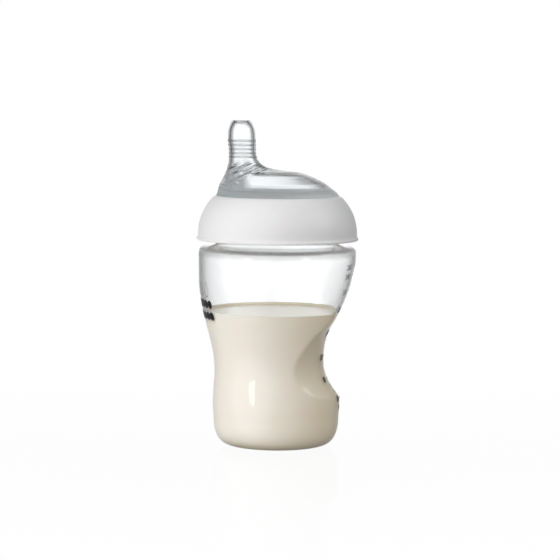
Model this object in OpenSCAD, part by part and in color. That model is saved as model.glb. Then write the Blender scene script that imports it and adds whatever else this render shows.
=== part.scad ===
// Wide-neck baby bottle with an off-centre teat, millimetres, +Z up.
// The origin is on the neck's axis at the table. The teat's tip leans to -X and the thumb grip faces +X.

/* [Body] */
// Height of the body up to the shoulder's edge
body_h = 96.5; // [94:0.5:100]
// Outside diameter just under the shoulder
body_d = 78.6; // [76:0.2:80]
// Outside diameter near the foot
foot_d = 63.5; // [62:0.5:65]
// Wall thickness of the body
wall = 1.4; // [1.2:0.1:1.8]
// Thickness of the floor
floor_t = 2.2; // [1.6:0.1:3]
// Height of the milk above the table
milk_level = 66.7; // [30:0.1:84]

/* [Thumb grip] */
// Distance of the grip's deepest point from the neck's axis
grip_x = 23.6; // [23:0.1:26]
// Width of the softened edge where the grip meets the body
grip_edge = 0.6; // [0.4:0.1:1.5]

/* [Neck and thread] */
// Bore of the mouth
mouth_d = 56.8; // [56:0.2:57]
// Outside diameter of the neck's tube
neck_d = 60; // [59.8:0.1:60.2]
// Rise of the thread for one turn
lead = 9; // [8:0.5:10]
// Number of thread starts
starts = 2; // [1:1:2]
// Thread height, from root to crest
thread_h = 1.5; // [1:0.1:1.5]

/* [Screw ring] */
// Outside diameter of the ring's shell above its rim
ring_d = 79.4; // [78.6:0.2:80.6]
// Diameter of the opening that the teat comes through
ring_bore_d = 60.4; // [60.2:0.1:60.8]
// Wall thickness of the ring's shell
ring_wall = 1.8; // [1.4:0.1:2]
// Number of stiffening webs between the shell and the threaded skirt
web_count = 12; // [6:2:24]

/* [Teat] */
// Height of the teat's tip above the ring's top edge
teat_rise = 37.4; // [36:0.1:39]
// Distance of the teat's tip from the neck's axis
tip_offset = 18.5; // [17:0.1:19]
// Wall thickness of the teat's dome
dome_wall = 2.2; // [1.8:0.1:2.6]
// Wall thickness of the nipple
nipple_wall = 1.3; // [1.1:0.1:1.6]
// Number of flexing ribs round the nipple
rib_count = 5; // [2:1:5]
// Diameter of the feed hole in the tip
feed_hole_d = 0.9; // [0.6:0.1:1.4]

/* [Hidden] */
$fn = 96;
SIDES = 48;                 // points round each lofted ring

// Clearances
seat_gap = 0.05;            // between faces that press together when the ring is tight
turn_gap = 0.08;            // radial, between the teat's barrel and the ring that turns on it
milk_gap = 0.08;            // between the milk and the wall

// Heights, from the table up
neck_z = body_h + 3.6;      // foot of the neck's tube
lip_z = neck_z + 14.9;      // the neck's sealing lip
flange_t = 1.95;            // thickness of the teat's clamped flange
web_z = lip_z + flange_t + 2 * seat_gap; // underside of the ring's clamping web
ring_low_z = neck_z + 2.5;  // the ring's lower rim
ring_top_z = lip_z + 9.4;   // the ring's top edge
tip_z = ring_top_z + teat_rise;

// Thread: the ring's ridges lie under the neck's by thread_gap, centre to centre
thread_z = neck_z + 4.2;    // start of the neck's thread
thread_turns = 0.75;
thread_gap = 1.5;
ridge_half = [1.1, 0.5];    // half width of a ridge at its root and at its crest
skirt_r = neck_d / 2 + thread_h + 0.6; // inside of the ring's threaded skirt
skirt_t = 1.8;

// ---------- curves ----------
function mix(a, b, t) = a + (b - a) * t;
function clamp(x, low, high) = max(low, min(high, x));
// 0 up to a, 1 from b on, smooth between
function ease(x, a, b) =
    let (t = clamp((x - a) / (b - a), 0, 1))
    t * t * (3 - 2 * t);
function reversed(list) = [for (i = [len(list) - 1 : -1 : 0]) list[i]];

// Slope of column k at station i of a list [[x, value, ...], ...]
function slope(s, i, k) =
    let (a = s[max(i - 1, 0)], b = s[min(i + 1, len(s) - 1)])
    (b[k] - a[k]) / (b[0] - a[0]);

// Smooth curve through stations: column k at x, flat beyond the ends
function through(s, x, k = 1) =
    x <= s[0][0] ? s[0][k] :
    x >= s[len(s) - 1][0] ? s[len(s) - 1][k] :
    let (
        i = max([for (j = [0 : len(s) - 2]) if (s[j][0] <= x) j]),
        w = s[i + 1][0] - s[i][0],
        t = (x - s[i][0]) / w,
        m0 = slope(s, i, k) * w,
        m1 = slope(s, i + 1, k) * w
    )
    (2 * t ^ 3 - 3 * t ^ 2 + 1) * s[i][k] + (t ^ 3 - 2 * t ^ 2 + t) * m0 +
    (3 * t ^ 2 - 2 * t ^ 3) * s[i + 1][k] + (t ^ 3 - t ^ 2) * m1;

// Smaller of a and b, with the corner between them softened over width k
function soft_min(a, b, k) =
    let (h = clamp(0.5 + (b - a) / (2 * k), 0, 1))
    mix(b, a, h) - k * h * (1 - h);

// Distance from the axis, at azimuth a, of a circle of radius r centred at x = c
function reach(c, r, a) = c * cos(a) + sqrt(r ^ 2 - (c * sin(a)) ^ 2);

// ---------- lofting ----------
// A ring of SIDES points at height z: an ellipse of radii rx and ry centred at x = c
function oval_ring(z, c, rx, ry) =
    [for (i = [0 : SIDES - 1]) let (a = 360 * i / SIDES) [c + rx * cos(a), ry * sin(a), z]];
function circle_ring(z, r) = oval_ring(z, 0, r, r);

// Joins rings of equally many points into a solid, either capped at both ends or closed on itself.
// Each patch between four points is two triangles, and flip splits it the other way.
module skin(rings, closed = false, flip = false) {
    n = len(rings[0]);
    m = len(rings);
    sides = [
        for (i = [0 : closed ? m - 1 : m - 2], j = [0 : n - 1])
            let (
                low = i * n,
                high = ((i + 1) % m) * n,
                next = (j + 1) % n
            )
            each flip ?
                [[low + j, high + j, low + next], [low + next, high + j, high + next]] :
                [[low + j, high + next, low + next], [low + j, high + j, high + next]]
    ];
    caps = closed ? [] : [
        [for (j = [0 : n - 1]) j],
        [for (j = [n - 1 : -1 : 0]) (m - 1) * n + j]
    ];
    polyhedron([for (ring = rings) each ring], concat(sides, caps));
}

// ---------- body outline ----------
top_r = body_d / 2;
foot_r = foot_d / 2;
foot_corner = [8.5, 14];    // width and height of the rounded foot
corner_power = 0.85;        // 1 is an ellipse, less is squarer
recess = [4, 1];            // the foot's recess: distance inside the flat edge, and depth

// Radius of the round body by height
palm = [
    [foot_corner[1], foot_r - 0.3], [20, foot_r + 0.1], [28, foot_r - 0.2], [37, foot_r - 0.65],
    [45, foot_r], [53, foot_r + 1.75], [60, top_r - 4], [68, top_r - 2.1], [80, top_r - 0.4],
    [90, top_r], [body_h, top_r]
];
stand_r = palm[0][1] - foot_corner[0]; // radius of the flat edge it stands on

// The thumb grip by height: how far it stays from the axis, how curved its level section is,
// and how soft its edge is as a share of grip_edge
grip = [
    [foot_corner[1], grip_x + 16.4, 0.0265, 1], [22, grip_x + 9.8, 0.0281, 1], [25, grip_x + 7.4, 0.0281, 1],
    [29, grip_x + 4.5, 0.028, 1], [33, grip_x + 2.1, 0.0276, 1], [38, grip_x + 0.4, 0.027, 1],
    [43.5, grip_x, 0.0256, 1], [50, grip_x + 0.6, 0.0215, 1.2], [57, grip_x + 2.6, 0.0165, 1.5],
    [64, grip_x + 6.3, 0.011, 3], [72, top_r - 5.6, 0.018, 5], [80, top_r - 2.7, 0.022, 5],
    [87, top_r - 0.6, 0.022, 5], [92, top_r + 2.2, 0.022, 5], [body_h, top_r + 6.7, 0.022, 5]
];

// Outside radius of the body at azimuth a and height z, drawn in by inset
function outline(a, z, inset = 0) =
    let (
        level = max(z, foot_corner[1]),
        r = 1 / through(grip, level, 2),
        cut = reach(through(grip, level) - r, r, a)
    )
    soft_min(through(palm, level), cut, grip_edge * through(grip, level, 3)) - inset;

// A ring of the body at height z, drawn in by inset and, round the foot, by pull
function body_ring(z, inset = 0, pull = 0) = [
    for (i = [0 : SIDES - 1])
        let (a = 360 * i / SIDES, r = outline(a, z, inset) - pull)
        [r * cos(a), r * sin(a), z]
];

// Rings round the foot's corner, of height h, from its flat edge at z0 up
function corner_rings(z0, h, inset, count) = [
    for (i = [0 : count - 1])
        let (q = 90 * i / count)
        body_ring(z0 + h * (1 - cos(q) ^ corner_power), inset, foot_corner[0] * (1 - sin(q) ^ corner_power))
];

function wall_rings(z0, z1, inset, count) =
    [for (i = [0 : count]) body_ring(mix(z0, z1, i / count), inset)];

// Rings of the inside of the bottle, from the floor up to the milk's level
function milk_rings(inset) = concat(
    [circle_ring(floor_t + inset, stand_r - wall - inset)],
    corner_rings(floor_t + inset + 0.1, foot_corner[1] - floor_t - inset - 0.1, wall + inset, 6),
    wall_rings(foot_corner[1], milk_level, wall + inset, 22)
);

module body_wall() {
    outside = concat(
        [circle_ring(recess[1], stand_r - recess[0] - 1), circle_ring(0, stand_r - recess[0])],
        corner_rings(0, foot_corner[1], 0, 7),
        wall_rings(foot_corner[1], milk_level, 0, 22),
        wall_rings(milk_level + 2, body_h, 0, 11)
    );
    inside = concat(milk_rings(0), wall_rings(milk_level + 2, body_h, wall, 11));
    skin(concat(outside, reversed(inside)));
}

// Shoulder and neck: half section, lip at the top
module neck() {
    bore = mouth_d / 2;
    tube = neck_d / 2;
    edge = [2.2, 2.1];      // width and height of the shoulder's rounded edge
    rotate_extrude() polygon([
        [top_r - wall + 0.2, body_h - 1.5], [top_r - 0.2, body_h - 1.5],
        for (q = [0 : 15 : 75]) [top_r - edge[0] + (edge[0] - 0.1) * cos(q), body_h + edge[1] * sin(q)],
        [top_r - 4.5, body_h + 2.6], [tube + 2.2, neck_z - 0.3], [tube + 0.9, neck_z + 0.3],
        [tube + 0.25, neck_z + 0.9], [tube, neck_z + 1.7], [tube, lip_z - 0.5], [tube - 0.5, lip_z],
        [bore + 0.3, lip_z], [bore, lip_z - 0.3], [bore, neck_z - 0.2],
        [bore + 0.6, neck_z - 1.2], [top_r - wall - 2.2, body_h + 0.8], [top_r - wall - 0.4, body_h - 0.4]
    ]);
}

// One helical ridge on the wall of radius r, crest at r + h (h is negative inside a ring),
// starting at height z0 and azimuth a0
module ridge(r, h, z0, a0) {
    steps = ceil(thread_turns * SIDES);
    sink = 0.4;             // how far the ridge's root reaches into the wall
    run_out = 20;           // degrees over which its ends fade
    root = r - sign(h) * sink;
    skin([
        for (i = [0 : steps])
            let (
                t = i / steps,
                a = a0 + 360 * thread_turns * t,
                z = z0 + lead * thread_turns * t,
                fade = clamp(min(t, 1 - t) * thread_turns * 360 / run_out, 0, 1),
                crest = r + mix(-0.15 * sign(h), h, fade),
                section = [
                    [root, -ridge_half[0]], [crest, -ridge_half[1]],
                    [crest, ridge_half[1]], [root, ridge_half[0]]
                ]
            )
            [for (p = h > 0 ? reversed(section) : section) [p[0] * cos(a), p[0] * sin(a), z + p[1]]]
    ]);
}

module bottle_body() {
    color([0.93, 0.95, 0.96, 0.4]) union() {
        body_wall();
        neck();
        for (s = [0 : starts - 1]) ridge(neck_d / 2, thread_h, thread_z, 360 * s / starts);
    }
}

module milk() {
    // split the way the wall's inside is, so that the gap between them is the same everywhere
    color([0.94, 0.91, 0.85]) skin(milk_rings(milk_gap), flip = true);
}

// ---------- teat ----------
barrel_r = ring_bore_d / 2 - turn_gap;
dome_z = ring_top_z + 0.1;  // the dome's foot, which covers the ring's top edge
base_inside = [24.8, 2.5];  // radius and height of the inside of the dome's thick base
flank_wall = 3.5;           // extra thickness of the dome's steep side, under the nipple
tip_wall = 1.6;

// Sections of the dome and nipple by share of the rise: share of tip_offset, radius along X, radius along Y
sections = [
    [0, 0, 30.8, 30.8], [0.05, 0.02, 29.7, 29.6], [0.1, 0.075, 28.3, 27.2], [0.155, 0.12, 26.7, 24.9],
    [0.208, 0.175, 24.7, 22.4], [0.262, 0.275, 21.8, 19.2], [0.315, 0.42, 18.3, 15.6],
    [0.346, 0.66, 13.3, 11.8], [0.37, 0.805, 10.4, 10], [0.405, 0.88, 8.75, 8.6],
    [0.455, 0.925, 7.5, 7.5], [0.535, 0.955, 6.75, 6.75], [0.63, 0.965, 6.65, 6.65],
    [0.73, 0.98, 6.85, 6.85], [0.83, 0.985, 6.65, 6.65], [0.9, 0.99, 6.2, 6.2],
    [0.95, 0.995, 5.5, 5.5], [0.98, 1, 4.9, 4.9], [1, 1, 4.2, 4.2]
];
numbered = [for (i = [0 : len(sections) - 1]) [i, each sections[i]]];
last = len(sections) - 1;
ledge = 2;                  // section number where the thin dome starts, above its thick base
ribbed = [10.5, 13.25];     // section numbers between which the nipple is ribbed
rib_h = 0.35;               // how far a rib stands out
rib_power = 8;              // how narrow a rib is for its pitch
rib_rings = 4 * rib_count;  // rings that the ribs take, so that one lies on every crest
ring_numbers = concat(
    [for (u = [0 : 0.5 : ribbed[0] - 0.1]) u],
    [for (i = [0 : rib_rings]) mix(ribbed[0], ribbed[1], i / rib_rings)],
    [for (u = [ceil(ribbed[1]) : 0.5 : last]) u]
);

// How far the outside stands out at section number u
function rib(u) =
    u < ribbed[0] || u > ribbed[1] ? 0 :
    rib_h * sin(180 * rib_count * (u - ribbed[0]) / (ribbed[1] - ribbed[0])) ^ rib_power;

// Point of the teat's outside at section number u, which needn't be whole, and azimuth a, raised by out
function teat_point(u, a, out = 0) = [
    -tip_offset * through(numbered, u, 2) + (through(numbered, u, 3) + out) * cos(a),
    (through(numbered, u, 4) + out) * sin(a),
    mix(dome_z, tip_z, through(numbered, u, 1))
];

// Wall thickness at share h of the rise and azimuth a
function teat_wall(h, a) =
    mix(dome_wall, nipple_wall, ease(h, 0.3, 0.5)) +
    (tip_wall - nipple_wall) * ease(h, 0.93, 1) +
    flank_wall * max(0, -cos(a)) ^ 4 * ease(h, 0.36, 0.2);

// Outer and inner rings of the teat: the inner one is smooth and lies a wall's thickness further in
function teat_outer(u) = [for (i = [0 : SIDES - 1]) teat_point(u, 360 * i / SIDES, rib(u))];
function teat_inner(u) = [
    for (i = [0 : SIDES - 1])
        let (
            a = 360 * i / SIDES,
            along = teat_point(u, a + 1) - teat_point(u, a - 1),
            up = teat_point(min(u + 0.02, last), a) - teat_point(u - 0.02, a),
            normal = cross(along, up)
        )
        teat_point(u, a) - normal / norm(normal) * teat_wall(through(numbered, u, 1), a)
];

module teat_dome() {
    hole = feed_hole_d / 2;
    skin(concat(
        [for (u = ring_numbers) teat_outer(u)],
        [oval_ring(tip_z, -tip_offset, hole, hole), oval_ring(tip_z - tip_wall, -tip_offset, hole, hole)],
        [for (u = reversed(ring_numbers)) if (u >= ledge) teat_inner(u)],
        [circle_ring(dome_z + base_inside[1], base_inside[0]), circle_ring(dome_z, base_inside[0])]
    ), closed = true);
}

// Plug, clamped flange and the barrel that the ring turns on
module teat_base() {
    plug = mouth_d / 2 - 0.1;
    flange = skirt_r - 0.7;
    difference() {
        rotate_extrude() polygon([
            [plug - 1.6, lip_z - 3.4], [plug - 0.5, lip_z - 3.4], [plug, lip_z - 2.8],
            [plug - 0.2, lip_z - 1], [plug - 0.2, lip_z + seat_gap], [flange, lip_z + seat_gap],
            [flange, web_z - seat_gap], [barrel_r, web_z - seat_gap], [barrel_r, ring_top_z - 0.4],
            [barrel_r - 0.3, dome_z + 0.8], [base_inside[0] + 0.3, dome_z + 0.8],
            [base_inside[0] + 0.3, lip_z + 1], [plug - 1.8, lip_z - 0.5]
        ]);
        // air channel under the flange and through the plug, which lets air in as milk leaves
        translate([plug - 3, -0.6, lip_z - 4]) cube([10, 1.2, 4.4]);
    }
}

module teat() {
    color([0.95, 0.96, 0.97, 0.45]) union() {
        teat_dome();
        teat_base();
    }
}

// ---------- screw ring ----------
shell_r = ring_d / 2;
shell_arc = 26;             // radius of the shell's upright curve
shell_z = ring_low_z + 2.8; // height where that curve starts
hollow_top = ring_top_z - 7;

// Radius of the shell at height z, drawn in by inset
function shell(z, inset = 0) =
    shell_r - shell_arc + sqrt((shell_arc - inset) ^ 2 - max(0, z - shell_z) ^ 2);

// Half section of the hollow between the threaded skirt and the shell, from height low up
function ring_hollow(low) = [
    [skirt_r + skirt_t, low], [skirt_r + skirt_t, hollow_top],
    for (z = [hollow_top : -1 : shell_z]) [max(shell(z, ring_wall), skirt_r + skirt_t + 0.1), z],
    [shell_r - ring_wall, low]
];

module ring_section() {
    bore = ring_bore_d / 2;
    polygon([
        [skirt_r, ring_low_z + 1], [skirt_r, web_z], [bore, web_z], [bore, ring_top_z - 0.3],
        [bore + 0.3, ring_top_z], [shell(ring_top_z) - 0.8, ring_top_z],
        for (z = [ring_top_z - 0.5 : -1 : shell_z]) [shell(z), z],
        [shell_r, ring_low_z + 2], [shell_r + 0.2, ring_low_z + 1.5], [shell_r + 0.65, ring_low_z + 1.1],
        [shell_r + 0.75, ring_low_z + 0.5], [shell_r + 0.4, ring_low_z], [shell_r - ring_wall - 0.5, ring_low_z]
    ]);
}

module screw_ring() {
    web_t = 1.2;
    color("white") union() {
        difference() {
            rotate_extrude() ring_section();
            rotate_extrude() polygon(ring_hollow(ring_low_z - 1));
        }
        intersection() {
            rotate_extrude() polygon(ring_hollow(ring_low_z + 2));
            for (a = [0 : 360 / web_count : 359])
                rotate(a) translate([skirt_r + 0.5, -web_t / 2, 0])
                    cube([shell_r - skirt_r - 1, web_t, ring_top_z - 4]);
        }
        for (s = [0 : starts - 1])
            ridge(skirt_r, -thread_h, thread_z - thread_gap + lead / 4, 360 * s / starts + 90);
    }
}

bottle_body();
milk();
teat();
screw_ring();
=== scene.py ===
"""Looks of a wide-neck baby bottle: clear body, milk, silicone teat, white screw ring and printed marks.

Lengths are millimetres until a mesh is made. The neck's axis is Z, the teat's tip leans to -X and the thumb
grip faces +X, as in the CAD frame.
"""

import math
from functools import lru_cache

import bpy
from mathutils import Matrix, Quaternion, Vector

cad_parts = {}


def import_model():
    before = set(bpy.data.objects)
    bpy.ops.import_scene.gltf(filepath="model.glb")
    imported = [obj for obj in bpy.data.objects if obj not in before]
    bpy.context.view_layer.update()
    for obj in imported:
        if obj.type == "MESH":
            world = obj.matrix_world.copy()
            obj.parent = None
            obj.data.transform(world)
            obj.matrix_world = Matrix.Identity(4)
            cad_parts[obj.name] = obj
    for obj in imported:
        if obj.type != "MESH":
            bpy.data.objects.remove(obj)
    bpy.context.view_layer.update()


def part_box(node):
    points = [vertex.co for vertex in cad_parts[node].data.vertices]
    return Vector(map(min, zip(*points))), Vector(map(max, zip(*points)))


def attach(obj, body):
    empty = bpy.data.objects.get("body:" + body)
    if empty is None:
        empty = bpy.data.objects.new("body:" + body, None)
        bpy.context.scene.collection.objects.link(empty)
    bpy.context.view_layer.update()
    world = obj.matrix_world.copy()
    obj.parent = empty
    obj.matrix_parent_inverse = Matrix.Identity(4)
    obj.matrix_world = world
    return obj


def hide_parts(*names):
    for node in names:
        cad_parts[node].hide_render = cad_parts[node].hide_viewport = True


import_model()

MM = 0.001


def box_mm(node):
    return [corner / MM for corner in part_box(node)]


# ---------------------------------------------------------------- sizes, from the frame where it has them

body_low, body_high = box_mm("bottle_body")
ring_low, ring_high = box_mm("screw_ring")
teat_low, teat_high = box_mm("teat")
milk_low, milk_high = box_mm("milk")

LIP_Z = body_high.z
NECK_Z = LIP_Z - 14.9       # foot of the neck's tube
SHOULDER_Z = NECK_Z - 4.8   # where the wall starts to round into the shoulder
TOP_R = body_high.y         # the body's radius under the shoulder
FOOT_R = 31.75
WALL = 1.4
FLOOR_T = 2.2
MILK_Z = milk_high.z

FOOT_CORNER = (8.5, 14.0)   # width and height of the rounded foot
CORNER_POWER = 0.85         # 1 is an ellipse, less is squarer

MOUTH_R = 28.4
NECK_R = 30.0
THREAD_H = 1.5
THREAD_Z = NECK_Z + 4.2
THREAD_TURNS = 0.75
THREAD_STARTS = 2
LEAD = 9.0

RING_TOP = ring_high.z
BORE_R = 30.2
TIP_Z = teat_high.z
TIP_OFFSET = 18.5

GRIP_X = 23.65              # distance of the grip's deepest point from the axis
GRIP_EDGE = 0.5             # width of the softened edge where the grip meets the round body

SIDES = 320                 # points round each lofted ring
PITCH = 0.55                # height between rings of the body's wall


# ---------------------------------------------------------------- curves

def mix(a, b, t):
    return a + (b - a) * t


def clamp(x, low=0.0, high=1.0):
    return max(low, min(high, x))


def ease(x, start, end):
    """0 before start, 1 after end, smooth between."""
    t = clamp((x - start) / (end - start))
    return t * t * (3 - 2 * t)


def through(stations, x, column=1):
    """Smooth curve through stations [(x, value, ...), ...], flat beyond its ends."""
    last = len(stations) - 1
    if x <= stations[0][0]:
        return stations[0][column]
    if x >= stations[last][0]:
        return stations[last][column]
    i = max(j for j in range(last) if stations[j][0] <= x)

    def slope(j):
        a, b = stations[max(j - 1, 0)], stations[min(j + 1, last)]
        return (b[column] - a[column]) / (b[0] - a[0])

    width = stations[i + 1][0] - stations[i][0]
    t = (x - stations[i][0]) / width
    return (
        (2 * t**3 - 3 * t**2 + 1) * stations[i][column]
        + (t**3 - 2 * t**2 + t) * slope(i) * width
        + (3 * t**2 - 2 * t**3) * stations[i + 1][column]
        + (t**3 - t**2) * slope(i + 1) * width
    )


def soft_min(a, b, k):
    """Smaller of a and b, with the corner between them softened over width k."""
    h = clamp(0.5 + (b - a) / (2 * k))
    return mix(b, a, h) - k * h * (1 - h)


def reach(centre, radius, a):
    """Distance from the axis, at azimuth a, of a circle of that radius centred at x = centre."""
    return centre * math.cos(a) + math.sqrt(radius**2 - (centre * math.sin(a)) ** 2)


# ---------------------------------------------------------------- outline of the body

# Radius of the round body by height
PALM = [
    (14, FOOT_R - 0.3), (20, FOOT_R + 0.1), (28, FOOT_R - 0.2), (37, FOOT_R - 0.65), (45, FOOT_R),
    (53, FOOT_R + 1.75), (60, TOP_R - 4), (68, TOP_R - 2.1), (80, TOP_R - 0.4), (90, TOP_R),
    (SHOULDER_Z, TOP_R),
]
STAND_R = PALM[0][1] - FOOT_CORNER[0]

# The thumb grip by height: how far it stays from the axis, how curved its level section is, and how soft
# its edge is
GRIP = [
    (14, 40, 0.0265, 1), (22, 33.4, 0.0281, 1), (25, 31.0, 0.0281, 1), (29, 28.1, 0.028, 1),
    (33, 25.7, 0.0276, 1), (38, 24.0, 0.027, 1), (43.5, GRIP_X, 0.0256, 1), (50, 24.2, 0.0215, 1.2),
    (57, 26.2, 0.0165, 1.5), (64, 29.9, 0.011, 3), (72, 33.7, 0.018, 6), (80, 36.6, 0.022, 6),
    (87, 38.7, 0.022, 6), (92, 41.5, 0.022, 6), (SHOULDER_Z, 46, 0.022, 6),
]


@lru_cache(None)
def level(z):
    """At height z: radius of the round body, centre and radius of the grip, softness of its edge."""
    z = max(z, FOOT_CORNER[1])
    radius = 1 / through(GRIP, z, 2)
    return through(PALM, z), through(GRIP, z) - radius, radius, GRIP_EDGE * through(GRIP, z, 3)


def outline(a, z, inset=0.0):
    """Outside radius of the body at azimuth a and height z, drawn in by inset."""
    palm, centre, radius, softness = level(z)
    return soft_min(palm, reach(centre, radius, a), softness) - inset


# ---------------------------------------------------------------- lofting

def angles(sides=SIDES):
    return [2 * math.pi * i / sides for i in range(sides)]


def ring_at(z, radius_at, centre=0.0, sides=SIDES):
    """A ring of points at height z, round x = centre. radius_at is a number or a function of azimuth."""
    points = []
    for a in angles(sides):
        r = radius_at(a) if callable(radius_at) else radius_at
        points.append((centre + r * math.cos(a), r * math.sin(a), z))
    return points


def solid(name, verts, faces):
    """An object of these points, in metres, and faces, smooth but for its sharp edges."""
    mesh = bpy.data.meshes.new(name)
    mesh.from_pydata(verts, [], faces)
    mesh.validate()
    mesh.shade_smooth()
    mesh.set_sharp_from_angle(angle=math.radians(40))
    made = bpy.data.objects.new(name, mesh)
    bpy.context.scene.collection.objects.link(made)
    return made


def loft(name, rings, closed=False):
    """Joins rings of equally many points into an object, capped at both ends or closed on itself."""
    n, m = len(rings[0]), len(rings)
    verts = [tuple(c * MM for c in p) for ring in rings for p in ring]
    faces = []
    for i in range(m if closed else m - 1):
        low, high = i * n, (i + 1) % m * n
        for j in range(n):
            k = (j + 1) % n
            faces.append((low + j, low + k, high + k, high + j))
    if not closed:
        faces.append(tuple(reversed(range(n))))
        faces.append(tuple(range((m - 1) * n, m * n)))
    return solid(name, verts, faces)


def steps(low, high, pitch):
    """Evenly spaced values from low to high, about pitch apart, both ends included."""
    count = max(1, round(abs(high - low) / pitch))
    return [mix(low, high, i / count) for i in range(count + 1)]


def revolve(points):
    return [ring_at(z, r) for r, z in points]


# ---------------------------------------------------------------- body

def corner(z0, width, height, inset, count):
    """Rings round the foot's corner, a quarter ellipse from its flat edge up."""
    rings = []
    for i in range(count):
        q = math.pi / 2 * i / count
        pull = width * (1 - math.sin(q) ** CORNER_POWER)
        z = z0 + height * (1 - math.cos(q) ** CORNER_POWER)
        rings.append(ring_at(z, lambda a: outline(a, 0, inset) - pull))
    return rings


def thread(a, z, start=THREAD_Z):
    """Height, at azimuth a and height z, of a thread whose ridges start at height start."""
    height = 0.0
    for s in range(THREAD_STARTS):
        turn = (a / (2 * math.pi) - s / THREAD_STARTS) % 1.0
        if turn < THREAD_TURNS:
            fade = clamp(min(turn, THREAD_TURNS - turn) * 360 / 20)
            off = abs(z - start - LEAD * turn)
            height = max(height, THREAD_H * fade * clamp((1.2 - off) / 0.6))
    return height


def cavity(inset, low, top, pitch):
    """Rings of the inside of the bottle from its floor up to height top."""
    rings = [ring_at(low, STAND_R - WALL - inset)]
    rings += corner(low + 0.1, FOOT_CORNER[0], FOOT_CORNER[1] - low, WALL + inset, 12)
    for z in steps(FOOT_CORNER[1], top, pitch):
        rings.append(ring_at(z, lambda a: outline(a, z, WALL + inset)))
    return rings


# Outside of the shoulder as (radius, height), from the wall up to the neck's tube
SHOULDER = [
    (TOP_R, SHOULDER_Z - 1), (TOP_R, SHOULDER_Z), (TOP_R - 0.1, SHOULDER_Z + 1.5),
    (TOP_R - 0.5, SHOULDER_Z + 2.6), (TOP_R - 1.6, SHOULDER_Z + 3.5), (TOP_R - 4, SHOULDER_Z + 4.0),
    (NECK_R + 2, SHOULDER_Z + 4.7),
    (NECK_R + 0.6, SHOULDER_Z + 5.5), (NECK_R + 0.05, SHOULDER_Z + 6.7), (NECK_R, SHOULDER_Z + 7.7),
]


def spline(points, count):
    """Points on the smooth curve through points, count to each stretch."""
    numbered = [(i, *point) for i, point in enumerate(points)]
    return [[through(numbered, i / count, c) for c in (1, 2)] for i in range((len(points) - 1) * count + 1)]


def offset(points, distance):
    """The curve that lies distance to the left of a curve of (radius, height) points."""
    moved = []
    for i, (r, z) in enumerate(points):
        before, after = points[max(i - 1, 0)], points[min(i + 1, len(points) - 1)]
        run, rise = after[0] - before[0], after[1] - before[1]
        length = math.hypot(run, rise)
        moved.append((r - distance * rise / length, z + distance * run / length))
    return moved


def vessel():
    recess = [(4.0, 1.0), (STAND_R - 6.0, 1.0), (STAND_R - 5.0, 0.85)]
    recess += [(STAND_R - 4.4, 0.5), (STAND_R - 3.8, 0.15), (STAND_R - 3.2, 0.0)]
    rings = revolve(recess)
    rings += corner(0.0, FOOT_CORNER[0], FOOT_CORNER[1], 0.0, 20)
    for z in steps(FOOT_CORNER[1], SHOULDER_Z - 1.5, PITCH):
        rings.append(ring_at(z, lambda a: outline(a, z)))
    shoulder = spline(SHOULDER, 5)
    rings += revolve(shoulder)
    for z in steps(SHOULDER_Z + 8.0, LIP_Z - 0.8, 0.3):
        rings.append(ring_at(z, lambda a: NECK_R + thread(a, z)))
    rings += revolve([(NECK_R, LIP_Z - 0.5), (NECK_R - 0.15, LIP_Z - 0.15), (NECK_R - 0.5, LIP_Z)])
    rings += revolve([(MOUTH_R + 0.3, LIP_Z), (MOUTH_R + 0.1, LIP_Z - 0.1), (MOUTH_R, LIP_Z - 0.4)])
    rings += revolve([(max(r, MOUTH_R), z) for r, z in reversed(offset(shoulder, WALL))])
    rings += list(reversed(cavity(0.0, FLOOR_T, SHOULDER_Z - 1.5, PITCH)))
    return loft("vessel", rings)


# ---------------------------------------------------------------- print on the body

INK_LIFT = (0.02, 0.07)     # underside and top of the ink above the wall
MARKS_AT = math.radians(-5) # azimuth of the scale's marks
# Numbered marks: assumed millilitres, height, and azimuth of the number in degrees. They are a likeness of a
# scale and don't agree exactly with what the cavity holds.
SCALE = [
    (60, 23.8, 13), (90, 33.6, 23), (120, 44.8, 24), (150, 57.2, 24), (180, 69.0, 24), (210, 77.8, 24),
    (240, 85.5, 24), (260, 90.3, 24),
]
DIGIT_H = 3.0
BOLDER = 0.035              # how far a digit's outline is moved outwards, for a height of about 1
MOTIF_AT = math.radians(194)
DOT_ROWS = (71.4, 65.6)     # heights of the motif's rows of dots
DROPS_Z = 75                # height of the feet of its drops


def on_wall(azimuth, s, z, lift):
    """Point s along the wall from azimuth, at height z, lifted off the wall, in metres."""
    a = azimuth + s / outline(azimuth, z)
    r = outline(a, z) + lift
    return (r * math.cos(a) * MM, r * math.sin(a) * MM, z * MM)


def ink_strip(azimuth, lower, upper, closed=False):
    """A thin solid on the wall between two edges, each a list of (s, z). Returns its points and faces."""
    count = len(lower)
    verts = []
    for lift in INK_LIFT:
        for edge in (lower, upper):
            verts += [on_wall(azimuth, s, z, lift) for s, z in edge]
    # Rows of points: inner lower, inner upper, outer lower, outer upper
    il, iu, ol, ou = (k * count for k in range(4))
    faces = []
    for i in range(count if closed else count - 1):
        k = (i + 1) % count
        faces += [(ol + i, ol + k, ou + k, ou + i), (il + k, il + i, iu + i, iu + k)]
        faces += [(il + i, il + k, ol + k, ol + i), (iu + k, iu + i, ou + i, ou + k)]
    if not closed:
        faces += [(il, ol, ou, iu), (iu + count - 1, ou + count - 1, ol + count - 1, il + count - 1)]
    return verts, faces


def dash(azimuth, s0, s1, z, thick):
    across = steps(s0, s1, 0.8)
    return ink_strip(azimuth, [(s, z - thick / 2) for s in across], [(s, z + thick / 2) for s in across])


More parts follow.
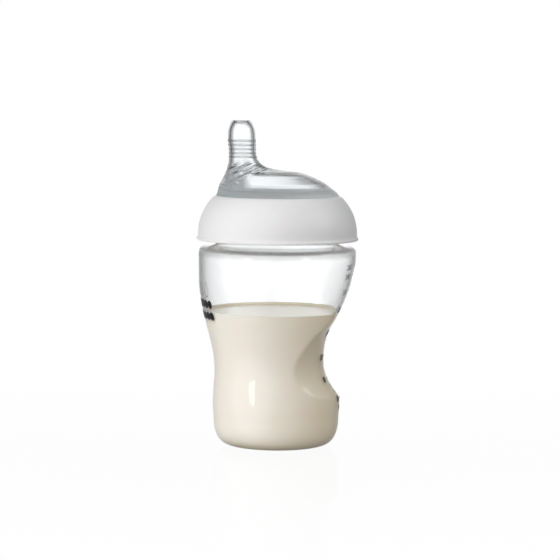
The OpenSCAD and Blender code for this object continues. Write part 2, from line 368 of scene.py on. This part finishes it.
def dot(azimuth, s0, z0, radius):
    turns = steps(-0.49 * math.pi, 0.49 * math.pi, 0.16)
    lower = [(s0 + radius * math.sin(t), z0 - radius * math.cos(t)) for t in turns]
    upper = [(s0 + radius * math.sin(t), z0 + radius * math.cos(t)) for t in turns]
    return ink_strip(azimuth, lower, upper)


def drop(azimuth, s0, z0, height, thick):
    """Outline of a milk drop, point up, with its middle at s0 and its foot at z0."""
    def edge(size):
        return [
            (s0 + 0.36 * size * math.sin(t) * math.sin(t / 2), z0 + height / 2 + 0.5 * size * math.cos(t))
            for t in angles(48)
        ]
    return ink_strip(azimuth, edge(height), edge(height - 2 * thick), closed=True)


def digits(text, azimuth, s0, z0, height):
    """Digits on the wall, centred on s0 along it and on height z0."""
    curve = bpy.data.curves.new("digits", "FONT")
    curve.body = text
    curve.resolution_u = 4
    curve.extrude = 0.5
    curve.offset = BOLDER
    flat = bpy.data.objects.new("digits", curve)
    mesh = bpy.data.meshes.new_from_object(flat)
    spots = [v.co.copy() for v in mesh.vertices]
    low = Vector(min(c[k] for c in spots) for k in range(3))
    high = Vector(max(c[k] for c in spots) for k in range(3))
    size = height / (high.y - low.y)
    verts = []
    for c in spots:
        lift = INK_LIFT[1] if c.z > 0 else INK_LIFT[0]
        verts.append(on_wall(azimuth, s0 + size * (c.x - (low.x + high.x) / 2),
                             z0 + size * (c.y - (low.y + high.y) / 2), lift))
    faces = [tuple(face.vertices) for face in mesh.polygons]
    bpy.data.objects.remove(flat)
    bpy.data.meshes.remove(mesh)
    bpy.data.curves.remove(curve)
    return verts, faces


def ink_object(name, parts):
    verts, faces = [], []
    for part_verts, part_faces in parts:
        first = len(verts)
        verts += part_verts
        faces += [tuple(first + k for k in face) for face in part_faces]
    return solid(name, verts, faces)


def scale_print():
    parts = [dot(MARKS_AT, -3, SCALE[0][1] - 4.4, 1.1)]
    for volume, z, azimuth in SCALE:
        parts.append(digits(str(volume), -math.radians(azimuth), 0, z, DIGIT_H))
        parts.append(dash(MARKS_AT, -2.4, 2.4, z, 0.45))
    for (_, low, _), (_, high, _) in zip(SCALE, SCALE[1:]):
        for z in steps(low, high, (high - low) / 3)[1:-1]:
            parts.append(dash(MARKS_AT, -2.4, 0, z, 0.3))
    return ink_object("scale_print", parts)


def motif_rows():
    parts = []
    for z in DOT_ROWS:
        for s in steps(-10, 10, 4):
            parts.append(dot(MOTIF_AT, s, z, 2.1))
    return ink_object("motif_dots", parts)


def motif_outline():
    parts = [drop(MOTIF_AT, s, DROPS_Z, 7.5, 0.45) for s in (-8, 0, 8)]
    return ink_object("motif_drops", parts)


# ---------------------------------------------------------------- milk

MENISCUS = (1.1, 2.6)       # height and width of the milk's curl at the wall
WETTING = 0.06              # how far the milk's mesh reaches into the wall, so that it reads as wet


def milk():
    rings = cavity(-WETTING, FLOOR_T - WETTING, MILK_Z + MENISCUS[0], PITCH)
    edge = MILK_Z + MENISCUS[0]
    for share in steps(0.05, 1.0, 0.12):
        dip = MENISCUS[0] * (1 - (1 - share) ** 2.5)
        rings.append(ring_at(edge - dip, lambda a: outline(a, edge, WALL - WETTING) - MENISCUS[1] * share))
    for pull in (0.8, 0.5, 0.2):
        rings.append(ring_at(MILK_Z, lambda a: (outline(a, edge, WALL) - MENISCUS[1]) * pull))
    return loft("milk_surface", rings)


# ---------------------------------------------------------------- teat

# Sections of the dome and nipple by share of the rise: share of the tip's offset, radius along X, and
# radius along Y
TEAT = [
    (0, 0, 30.8, 30.8), (0.05, 0.02, 29.7, 29.6), (0.10, 0.075, 28.3, 27.2), (0.155, 0.12, 26.7, 24.9),
    (0.208, 0.175, 24.7, 22.4), (0.262, 0.275, 21.8, 19.2), (0.315, 0.42, 18.3, 15.6),
    (0.346, 0.66, 13.3, 11.8), (0.37, 0.805, 10.4, 10.0), (0.405, 0.88, 8.75, 8.6), (0.455, 0.925, 7.5, 7.5),
    (0.535, 0.955, 6.75, 6.75), (0.63, 0.965, 6.65, 6.65), (0.73, 0.98, 6.9, 6.9), (0.83, 0.985, 6.8, 6.8),
    (0.90, 0.99, 6.35, 6.35), (0.95, 0.995, 5.5, 5.5), (0.98, 1, 4.9, 4.9), (1, 1, 4.2, 4.2),
]
DOME_FOOT = RING_TOP + 0.1
LEDGE = 1.9                 # section number where the thin dome starts, above its thick base
BASE_INSIDE = (24.8, 2.5)   # radius and height of the inside of the thick base
DOME_WALL = 2.2
FLANK_WALL = 4.0            # extra thickness of the dome's steep side, under the nipple
NIPPLE_WALL = 1.3
TIP_WALL = 1.5
RIBS = 5
RIBBED = (10.5, 13.25)      # section numbers between which the nipple is ribbed
RIB_H = 0.35
RIB_POWER = 12              # how narrow a rib is for its pitch
FOLD_H = 0.25               # how much the folds round the nipple's root thicken its wall
FOLD_PITCH = 2.6            # distance between them
FOLD_REACH = (13, 18)       # distances from the nipple's axis where the folds start to fade and are gone
FEED_HOLE_R = 0.45


def rib(u):
    """How far the teat's outside stands out at section number u."""
    if not RIBBED[0] < u < RIBBED[1]:
        return 0.0
    return RIB_H * math.sin(math.pi * RIBS * (u - RIBBED[0]) / (RIBBED[1] - RIBBED[0])) ** RIB_POWER


@lru_cache(None)
def teat_section(u):
    """Share of the rise, centre and radii of the teat's section number u, which needn't be whole."""
    numbered = [(i, *row) for i, row in enumerate(TEAT)]
    h, shift, rx, ry = (through(numbered, u, column) for column in (1, 2, 3, 4))
    return h, -TIP_OFFSET * shift, rx, ry


def teat_surface(u, a, out=0.0):
    h, centre, rx, ry = teat_section(u)
    return Vector((centre + (rx + out) * math.cos(a), (ry + out) * math.sin(a), mix(DOME_FOOT, TIP_Z, h)))


def teat_wall(h, a, point):
    """Thickness of the dome's or nipple's wall under a point of the outside."""
    wall = mix(DOME_WALL, NIPPLE_WALL, ease(h, 0.3, 0.5))
    wall += (TIP_WALL - NIPPLE_WALL) * ease(h, 0.93, 1)
    wall += FLANK_WALL * max(0.0, -math.cos(a)) ** 4 * ease(h, 0.36, 0.2)
    near = ease(math.hypot(point.x + TIP_OFFSET, point.y), FOLD_REACH[1], FOLD_REACH[0])
    fold = math.sin(2 * math.pi * (point.z - 0.4 * point.x) / FOLD_PITCH)
    return wall + FOLD_H * fold * near * ease(h, 0.06, 0.12) * ease(h, 0.46, 0.4)


def teat_inner(u, nudge=0.02):
    """Ring of the inside, one wall under the outside."""
    ring = []
    top = len(TEAT) - 1
    for a in angles():
        point = teat_surface(u, a)
        up = teat_surface(min(u + nudge, top), a) - teat_surface(u - nudge, a)
        across = teat_surface(u, a + nudge) - teat_surface(u, a - nudge)
        ring.append(point - across.cross(up).normalized() * teat_wall(teat_section(u)[0], a, point))
    return ring


def teat():
    plug = MOUTH_R - 0.1
    barrel = BORE_R - 0.08
    inside, ledge = BASE_INSIDE
    flange = (LIP_Z + 0.05, LIP_Z + 2.0)
    flange_r = NECK_R + THREAD_H - 0.1
    base = [(inside, DOME_FOOT), (inside, LIP_Z + 1), (plug - 1.8, LIP_Z - 0.5), (plug - 1.6, LIP_Z - 3.2)]
    base += [(plug - 1.2, LIP_Z - 3.4), (plug - 0.5, LIP_Z - 3.4), (plug, LIP_Z - 2.8)]
    base += [(plug - 0.2, LIP_Z - 1)]
    base += [(plug - 0.2, flange[0]), (flange_r, flange[0]), (flange_r + 0.2, flange[0] + 0.3)]
    base += [(flange_r + 0.2, flange[1] - 0.3), (flange_r, flange[1]), (barrel, flange[1])]
    base += [(barrel, RING_TOP - 0.6), (barrel, RING_TOP - 0.3)]
    top = len(TEAT) - 1
    rings = revolve(base)
    rings += [[teat_surface(u, a, rib(u)) for a in angles()] for u in steps(0, top, 0.05)]
    tip = [(TIP_Z, TEAT[-1][2] - 0.4), (TIP_Z, FEED_HOLE_R), (TIP_Z - TIP_WALL, FEED_HOLE_R)]
    rings += [ring_at(z, r, -TIP_OFFSET) for z, r in tip]
    rings += [teat_inner(u) for u in steps(top, LEDGE, 0.05)]
    rings += revolve([(inside + 0.4, DOME_FOOT + ledge), (inside, DOME_FOOT + ledge - 0.4)])
    return loft("soft_teat", rings, closed=True)


# ---------------------------------------------------------------- screw ring

SHELL_R = 39.7              # outside radius of the shell above its rim
SHELL_ARC = 26.0            # radius of the shell's upright curve
SHELL_Z = ring_low.z + 2.8  # height where that curve starts
RING_WALL = 1.8
SKIRT_R = NECK_R + THREAD_H + 0.6
SKIRT_T = 1.8
WEB_Z = LIP_Z + 2.05        # underside of the web that clamps the teat
WEBS = 12
WEB_T = 1.2
THREAD_GAP = 1.5            # how far the ring's ridges lie under the neck's


def shell(z, inset=0.0):
    dz = max(0.0, z - SHELL_Z)
    return SHELL_R - SHELL_ARC + math.sqrt((SHELL_ARC - inset) ** 2 - dz**2)


def screw_ring():
    low = ring_low.z
    points = [(SKIRT_R + 0.3, low + 1.0), (SKIRT_R + SKIRT_T - 0.3, low + 1.0)]
    points += [(SKIRT_R + SKIRT_T, low + 1.3), (SKIRT_R + SKIRT_T, RING_TOP - 5)]
    points += [(shell(z, RING_WALL), z) for z in steps(RING_TOP - 6, SHELL_Z, 1.0)]
    points += [(SHELL_R - RING_WALL, low + 0.3), (SHELL_R - RING_WALL + 0.3, low), (SHELL_R + 0.3, low)]
    points += [(SHELL_R + 0.65, low + 0.2), (SHELL_R + 0.75, low + 0.6), (SHELL_R + 0.65, low + 1.1)]
    points += [(SHELL_R + 0.2, low + 1.5), (SHELL_R, low + 2.0)]
    points += [(shell(z), z) for z in steps(SHELL_Z, RING_TOP - 0.6, 0.6)]
    points += [(shell(RING_TOP) - 0.5, RING_TOP - 0.1), (shell(RING_TOP) - 1.0, RING_TOP)]
    points += [(BORE_R + 0.4, RING_TOP), (BORE_R, RING_TOP - 0.4), (BORE_R, WEB_Z), (SKIRT_R, WEB_Z)]
    rings = revolve(points)
    start = THREAD_Z - THREAD_GAP + LEAD / 4
    for z in steps(WEB_Z - 0.4, low + 1.3, 0.3):
        rings.append(ring_at(z, lambda a: SKIRT_R - thread(a - math.pi / 2, z, start)))
    return loft("ring_shell", rings, closed=True)


def ring_webs():
    """Thin upright plates that stiffen the hollow between the skirt and the shell."""
    low, high = ring_low.z + 3, RING_TOP - 4.5
    inner = SKIRT_R + 0.5
    verts, faces = [], []
    for i in range(WEBS):
        turn = 2 * math.pi * i / WEBS
        out = Vector((math.cos(turn), math.sin(turn), 0))
        side = Vector((-math.sin(turn), math.cos(turn), 0)) * WEB_T / 2
        corners = [(inner, low), (SHELL_R - 1, low), (shell(high, 1), high), (inner, high)]
        first = len(verts)
        for across in (side, -side):
            verts += [(out * r + across + Vector((0, 0, z))) * MM for r, z in corners]
        faces += [[first + k for k in (0, 1, 2, 3)], [first + k for k in (7, 6, 5, 4)]]
        faces += [[first + k for k in (j, j + 4, (j + 1) % 4 + 4, (j + 1) % 4)] for j in range(4)]
    return solid("ring_webs", verts, faces)


# ---------------------------------------------------------------- shader helpers

def node(tree, kind, inputs=None, **settings):
    """Adds a shader node. inputs maps a socket's name or number to a value or to another node's output."""
    made = tree.nodes.new("ShaderNode" + kind)
    for key, value in settings.items():
        setattr(made, key, value)
    for key, value in (inputs or {}).items():
        if isinstance(value, bpy.types.NodeSocket):
            tree.links.new(value, made.inputs[key])
        else:
            made.inputs[key].default_value = value
    return made


def calc(tree, operation, a, b=0.0, clamped=False):
    return node(tree, "Math", {0: a, 1: b}, operation=operation, use_clamp=clamped).outputs[0]


def ramp(tree, value, low, high, out_low=0.0, out_high=1.0):
    """Smooth step of value from low to high."""
    inputs = {"Value": value, "From Min": low, "From Max": high, "To Min": out_low, "To Max": out_high}
    return node(tree, "MapRange", inputs, interpolation_type="SMOOTHSTEP").outputs[0]


def object_place(tree):
    """The shaded point's place in its object's own space, as one vector."""
    return node(tree, "TexCoord").outputs["Object"]


def split(tree, vector):
    """The X, Y and Z of a vector, as a list of outputs."""
    return node(tree, "SeparateXYZ", {0: vector}).outputs


def blend(tree, share, first, second):
    """Colour between first and second, each a colour or another node's output."""
    return node(tree, "Mix", {0: share, 6: first, 7: second}, data_type="RGBA").outputs[2]


def choose(tree, test, otherwise, chosen):
    """The number chosen where test is 1, otherwise where it is 0."""
    return node(tree, "Mix", {0: test, 2: otherwise, 3: chosen}, data_type="FLOAT").outputs[0]


def to_camera(tree, vector, kind):
    """A vector, normal or point turned from world space into camera space."""
    settings = {"vector_type": kind, "convert_from": "WORLD", "convert_to": "CAMERA"}
    return node(tree, "VectorTransform", {0: vector}, **settings).outputs[0]


def along(tree, vector, direction):
    """Cosine of the angle between a unit vector and a fixed direction."""
    inputs = {0: vector, 1: Vector(direction).normalized()}
    return node(tree, "VectorMath", inputs, operation="DOT_PRODUCT").outputs["Value"]


def noise(tree, scale, detail=2.0):
    where = object_place(tree)
    return node(tree, "TexNoise", {"Vector": where, "Scale": scale, "Detail": detail}).outputs["Fac"]


def bump(tree, height, strength, distance_mm):
    inputs = {"Height": height, "Strength": strength, "Distance": distance_mm * MM}
    return node(tree, "Bump", inputs).outputs["Normal"]


def new_material(name):
    material = bpy.data.materials.new(name)
    material.use_nodes = True
    tree = material.node_tree
    tree.nodes.clear()
    return material, tree


def finish_material(tree, shader):
    node(tree, "OutputMaterial", {"Surface": shader})


def see_through(tree, shader, tint):
    """Lets light and soft bounces straight through a clear shader, so that what it holds is lit."""
    path = node(tree, "LightPath").outputs
    passing = calc(tree, "MAXIMUM", path["Is Shadow Ray"], path["Is Diffuse Ray"])
    clear = node(tree, "BsdfTransparent", {"Color": (*tint, 1)}).outputs[0]
    return node(tree, "MixShader", {0: passing, 1: shader, 2: clear}).outputs[0]


# ---------------------------------------------------------------- materials

EDGE_HAZE = 0.2             # share of light that the thick plastic of the shoulder's edge scatters
EDGE_ROUGHNESS = 0.16       # roughness that the same edge adds
BASE_HAZE = 0.4             # share of light that thick silicone scatters at each surface, in the dome's base
FLANK_HAZE = 0.3            # the same in its steep side
CLEAR_HAZE = 0.02           # the same in its thin parts
HAZE_SLANT = (0.6, 0.8)     # direction in X and Z across the slanted edge of the flank's haze


def clear_plastic():
    material, tree = new_material("clear_polypropylene")
    waves = bump(tree, noise(tree, 60, 1.0), 0.12, 0.2)
    haze = ramp(tree, noise(tree, 25), 0.3, 0.7, 0.02, 0.05)
    height = split(tree, object_place(tree))[2]
    above = ramp(tree, height, (SHOULDER_Z - 1.5) * MM, (SHOULDER_Z + 1.5) * MM)
    below = ramp(tree, height, (SHOULDER_Z + 4.3) * MM, (SHOULDER_Z + 3.5) * MM)
    thick = calc(tree, "MULTIPLY", above, below)
    inputs = {
        "Base Color": (0.99, 0.997, 1, 1), "IOR": 1.49, "Transmission Weight": 1.0, "Normal": waves,
        "Roughness": calc(tree, "ADD", haze, calc(tree, "MULTIPLY", thick, EDGE_ROUGHNESS)),
    }
    clear = node(tree, "BsdfPrincipled", inputs).outputs[0]
    milky = node(tree, "BsdfTranslucent", {"Color": (0.77, 0.81, 0.86, 1)}).outputs[0]
    hazy = calc(tree, "MULTIPLY", thick, EDGE_HAZE)
    shader = node(tree, "MixShader", {0: hazy, 1: clear, 2: milky}).outputs[0]
    finish_material(tree, see_through(tree, shader, (0.99, 0.99, 0.99)))
    return material


def silicone():
    """Clear silicone, hazy where it is thick: in the dome's base, and below a slant across its steep side."""
    material, tree = new_material("clear_silicone")
    waves = bump(tree, noise(tree, 140, 2.0), 0.15, 0.15)
    inputs = {
        "Base Color": (0.95, 0.965, 0.975, 1), "Roughness": 0.04, "IOR": 1.41,
        "Transmission Weight": 1.0, "Normal": waves,
    }
    clear = node(tree, "BsdfPrincipled", inputs).outputs[0]
    where = split(tree, object_place(tree))
    base = ramp(tree, where[2], (DOME_FOOT + 5) * MM, (DOME_FOOT + 2) * MM, CLEAR_HAZE, BASE_HAZE)
    run, rise = HAZE_SLANT
    aslant = calc(tree, "ADD", calc(tree, "MULTIPLY", where[0], run), calc(tree, "MULTIPLY", where[2], rise))
    flank = ramp(tree, aslant, (rise * DOME_FOOT - 3.5) * MM, (rise * DOME_FOOT - 7) * MM)
    patchy = ramp(tree, noise(tree, 220), 0.35, 0.65, 0.6 * FLANK_HAZE, FLANK_HAZE)
    thick = calc(tree, "MAXIMUM", base, calc(tree, "MULTIPLY", flank, patchy))
    milky = node(tree, "BsdfTranslucent", {"Color": (0.92, 0.95, 0.98, 1)}).outputs[0]
    shader = node(tree, "MixShader", {0: thick, 1: clear, 2: milky}).outputs[0]
    finish_material(tree, see_through(tree, shader, (0.93, 0.95, 0.96)))
    return material


def white_plastic():
    material, tree = new_material("white_polypropylene")
    grain = bump(tree, noise(tree, 1800, 3.0), 0.25, 0.02)
    sheen = ramp(tree, noise(tree, 90), 0.3, 0.7, 0.34, 0.42)
    inputs = {
        "Base Color": (0.86, 0.855, 0.86, 1), "Roughness": sheen, "IOR": 1.49, "Normal": grain,
        "Subsurface Weight": 0.15, "Subsurface Scale": 2 * MM,
    }
    finish_material(tree, node(tree, "BsdfPrincipled", inputs).outputs[0])
    return material


def milk_liquid():
    """Milk with painted shade and painted light: its sides are painted warmer and darker where they face away
    from the key light, in place of the light's longer way through it, and its top is painted a lighter,
    warmer colour.
    """
    material, tree = new_material("milk_liquid")
    facing = node(tree, "NewGeometry").outputs["Normal"]
    upward = ramp(tree, split(tree, facing)[2], 0.5, 0.9)
    # Painted shade: share of the darker, warmer colour, rising where the milk faces away from the key light
    painted_shade = ramp(tree, along(tree, to_camera(tree, facing, "NORMAL"), KEY), 0.9, -0.3)
    # Colour of the lit side, its tone uneven at random
    lit_milk_colour = blend(tree, ramp(tree, noise(tree, 40), 0.3, 0.7), (0.94, 0.87, 0.78, 1), (0.95, 0.88, 0.79, 1))
    side = blend(tree, painted_shade, lit_milk_colour, (0.86, 0.76, 0.58, 1))
    # Painted light: where the milk faces up, its top is painted a lighter, warmer colour
    inputs = {
        "Base Color": blend(tree, upward, side, (1, 0.88, 0.68, 1)), "Roughness": 0.12, "IOR": 1.35,
        "Specular IOR Level": calc(tree, "MULTIPLY", upward, 0.5), "Specular Tint": (1, 0.97, 0.92, 1),
        "Subsurface Weight": 0.3, "Subsurface Scale": 2 * MM,
    }
    finish_material(tree, node(tree, "BsdfPrincipled", inputs).outputs[0])
    return material


def ink(name, colour, thin, thick, upper=1.0):
    """Printed ink of uneven density, from thin to thick, and fainter above the milk by the factor upper."""
    material, tree = new_material(name)
    height = split(tree, object_place(tree))[2]
    faint = ramp(tree, height, MILK_Z * MM, (MILK_Z + 4) * MM, 1, upper)
    density = calc(tree, "MULTIPLY", faint, ramp(tree, noise(tree, 900, 2.0), 0.25, 0.6, thin, thick))
    inputs = {"Base Color": (*colour, 1), "Roughness": 0.35, "IOR": 1.5, "Alpha": density}
    finish_material(tree, node(tree, "BsdfPrincipled", inputs).outputs[0])
    return material


# ---------------------------------------------------------------- studio

KEY = (-0.68, 0.30, -0.66)  # direction of the key light in camera space
CAMERA_DISTANCE = 1.1
CAMERA_ELEVATION = math.radians(5.2)
CAMERA_ROLL = math.radians(0.5)
CAMERA_AIM = Vector((0.00145, 0, 0.0823))
FRAME_WIDTH = 0.28          # what the frame shows at the bottle's axis
SENSOR = 36.0

AMBIENT = 0.09
# Soft round lights: direction in camera space, inner and outer half angle in degrees, strength
LIGHTS = [
    ((0, 0, 1), 7, 16, 0.54),               # backdrop straight behind the bottle
    ((0, 0, 1), 10, 46, 0.38),              # its wider glow, which the clear walls bend into view
    ((0, 0.22, 1), 5, 16, 0.25),            # and its upper part, seen through the teat's dome
    (KEY, 28, 60, 1.56),
    ((-0.74, -0.06, -0.67), 2, 4, 5.0),     # two lamps side by side, for the highlight on the lower body
    ((-0.67, -0.10, -0.74), 2, 3.5, 5.0),
    ((0.1, 1.0, -0.25), 20, 60, 0.25),      # fill from above
    ((0.75, 0.6, -0.3), 10, 55, 0.24),      # fill from the right
    ((0.95, 0.3, 0.15), 10, 50, 0.24),      # rim light from the right and slightly behind
    ((0.8, 0.45, -0.2), 8, 18, 2.5),        # lamp that catches the grip's lower edge
]

# Painted contact shadow and painted shade in the light that the floor throws on the bottle:
FOOT_SHADE = (0.024, 0.034)  # distances from the origin between which the floor's light on the bottle rises
FOOT_LIGHT = (0.45, 1.15)   # the strength it rises from and to
SIDE_LIGHT = (0.35, 0.95)   # share of it that comes from the camera's right and from its left
SIDE_SPAN = 0.05            # distance either side of the view's middle over which that share changes
MIRROR = (0.03, 0.36, 0.06) # distances over which the floor's reflection fades, and its strength at the foot


def glow(tree, view, direction, inner, outer, strength):
    """A soft round light in a direction in camera space, fading between two half angles in degrees."""
    wide, tight = math.cos(math.radians(outer)), math.cos(math.radians(inner))
    return ramp(tree, along(tree, view, direction), wide, tight, 0.0, strength)


def studio_light(tree, direction):
    """Radiance of the studio by direction. It turns with the camera, as if the bottle were on a turntable."""
    view = to_camera(tree, direction, "VECTOR")
    total = AMBIENT
    for light in LIGHTS:
        total = calc(tree, "ADD", total, glow(tree, view, *light))
    return total


def world():
    made = bpy.data.worlds.new("studio")
    bpy.context.scene.world = made
    made.use_nodes = True
    tree = made.node_tree
    tree.nodes.clear()
    direction = node(tree, "TexCoord").outputs["Generated"]
    seen = node(tree, "LightPath").outputs["Is Camera Ray"]
    strength = choose(tree, seen, studio_light(tree, direction), 1.0)
    background = node(tree, "Background", {"Color": (1, 1, 1, 1), "Strength": strength})
    node(tree, "OutputWorld", {"Surface": background.outputs[0]})


def floor():
    """A pale floor that glows by a formula instead of being lit, with a faint reflection near the foot.

    The camera sees it white. What it throws on the bottle carries a painted contact shadow and painted shade:
    it falls off near the foot and to the camera's right.
    """
    bpy.ops.mesh.primitive_plane_add(size=6, location=(0, 0, -0.0003))
    plane = bpy.context.object
    plane.name = "floor"
    material, tree = new_material("pale_floor")
    geometry = node(tree, "NewGeometry").outputs
    towards = {0: geometry["Incoming"], "Scale": -1.0}
    away = node(tree, "VectorMath", towards, operation="SCALE").outputs[0]
    distance = node(tree, "VectorMath", {0: geometry["Position"]}, operation="LENGTH").outputs["Value"]
    path = node(tree, "LightPath").outputs
    bounce = choose(tree, path["Is Camera Ray"], studio_light(tree, away), 1.0)
    # Painted shadow: the floor's glow on the bottle is darker near the foot and to the camera's right
    across = split(tree, to_camera(tree, geometry["Position"], "POINT"))[0]
    side = ramp(tree, across, SIDE_SPAN, -SIDE_SPAN, *SIDE_LIGHT)
    shaded = calc(tree, "MULTIPLY", ramp(tree, distance, *FOOT_SHADE, *FOOT_LIGHT), side)
    strength = choose(tree, path["Is Diffuse Ray"], bounce, shaded)
    paint = node(tree, "Emission", {"Color": (1, 1, 1, 1), "Strength": strength}).outputs[0]
    mirror = node(tree, "BsdfGlossy", {"Color": (1, 1, 1, 1), "Roughness": 0.08}).outputs[0]
    fade = ramp(tree, distance, *MIRROR, 0.0)
    finish_material(tree, node(tree, "MixShader", {0: fade, 1: paint, 2: mirror}).outputs[0])
    plane.data.materials.append(material)


def camera():
    data = bpy.data.cameras.new("camera")
    data.sensor_width = SENSOR
    data.lens = SENSOR * CAMERA_DISTANCE / FRAME_WIDTH
    made = bpy.data.objects.new("camera", data)
    bpy.context.scene.collection.objects.link(made)
    back = Vector((0, -math.cos(CAMERA_ELEVATION), math.sin(CAMERA_ELEVATION)))
    made.location = CAMERA_AIM + back * CAMERA_DISTANCE
    made.rotation_mode = "QUATERNION"
    made.rotation_quaternion = (-back).to_track_quat("-Z", "Y") @ Quaternion((0, 0, 1), CAMERA_ROLL)
    bpy.context.scene.camera = made


# ---------------------------------------------------------------- assembly

def place(piece, body, nodes, material):
    piece.data.materials.append(material)
    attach(piece, body)
    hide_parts(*nodes)


def print_on(piece, material):
    piece.data.materials.append(material)
    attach(piece, "bottle")


place(vessel(), "bottle", ["bottle_body"], clear_plastic())
place(milk(), "bottle", ["milk"], milk_liquid())
place(teat(), "teat", ["teat"], silicone())
white = white_plastic()
place(screw_ring(), "ring", ["screw_ring"], white)
place(ring_webs(), "ring", ["screw_ring"], white)
print_on(scale_print(), ink("scale_ink", (0.02, 0.02, 0.022), 0.8, 0.92, 0.4))
print_on(motif_rows(), ink("black_ink", (0.015, 0.015, 0.017), 0.96, 1.0))
print_on(motif_outline(), ink("grey_ink", (0.22, 0.22, 0.23), 0.8, 0.95))

world()
floor()
camera()

scene = bpy.context.scene
scene.view_settings.view_transform = "Standard"
scene.cycles.max_bounces = 24
scene.cycles.transmission_bounces = 20
scene.cycles.transparent_max_bounces = 24
